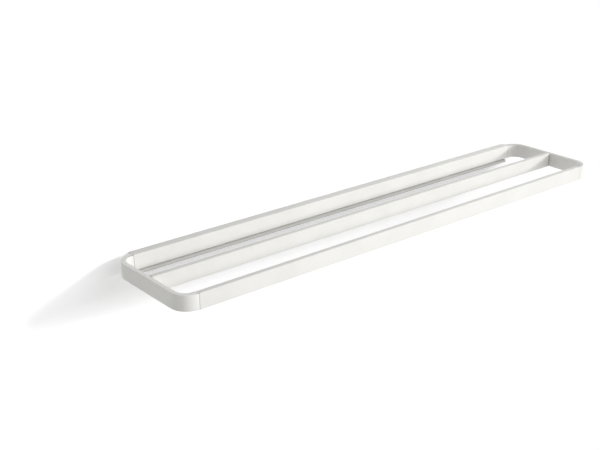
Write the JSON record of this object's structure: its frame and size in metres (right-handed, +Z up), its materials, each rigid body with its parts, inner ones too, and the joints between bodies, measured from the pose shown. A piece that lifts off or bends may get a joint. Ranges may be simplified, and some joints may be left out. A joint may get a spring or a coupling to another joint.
{
  "type": "double towel bar",
  "caption": "Flat wall-mounted double towel bar: a long frame of thin, tall bars with round corners and a middle bar, hooked over a wall rail that shows as a narrow ledge.",
  "frame": {"origin": "on the wall, halfway along the wall rail's back face, at the height of its wall screws", "axes": "+X along the bars to the right seen from the room, +Y into the wall, +Z up"},
  "size_m": [0.6, 0.1559, 0.0214],
  "materials": {
    "powder_coat": "satin",
    "steel": "satin",
    "nylon": "matte"
  },
  "bodies": {
    "root": {"left_end_piece": "powder_coat", "right_end_piece": "powder_coat", "front_bar": "powder_coat", "middle_bar": "powder_coat", "back_bar": "powder_coat", "wall_rail": "powder_coat", "locking_screw": "steel", "wall_screw_1": "steel", "wall_screw_2": "steel", "wall_screw_3": "steel", "wall_screw_4": "steel", "wall_plug_1": "nylon", "wall_plug_2": "nylon", "wall_plug_3": "nylon", "wall_plug_4": "nylon"}
  },
  "joints": []
}
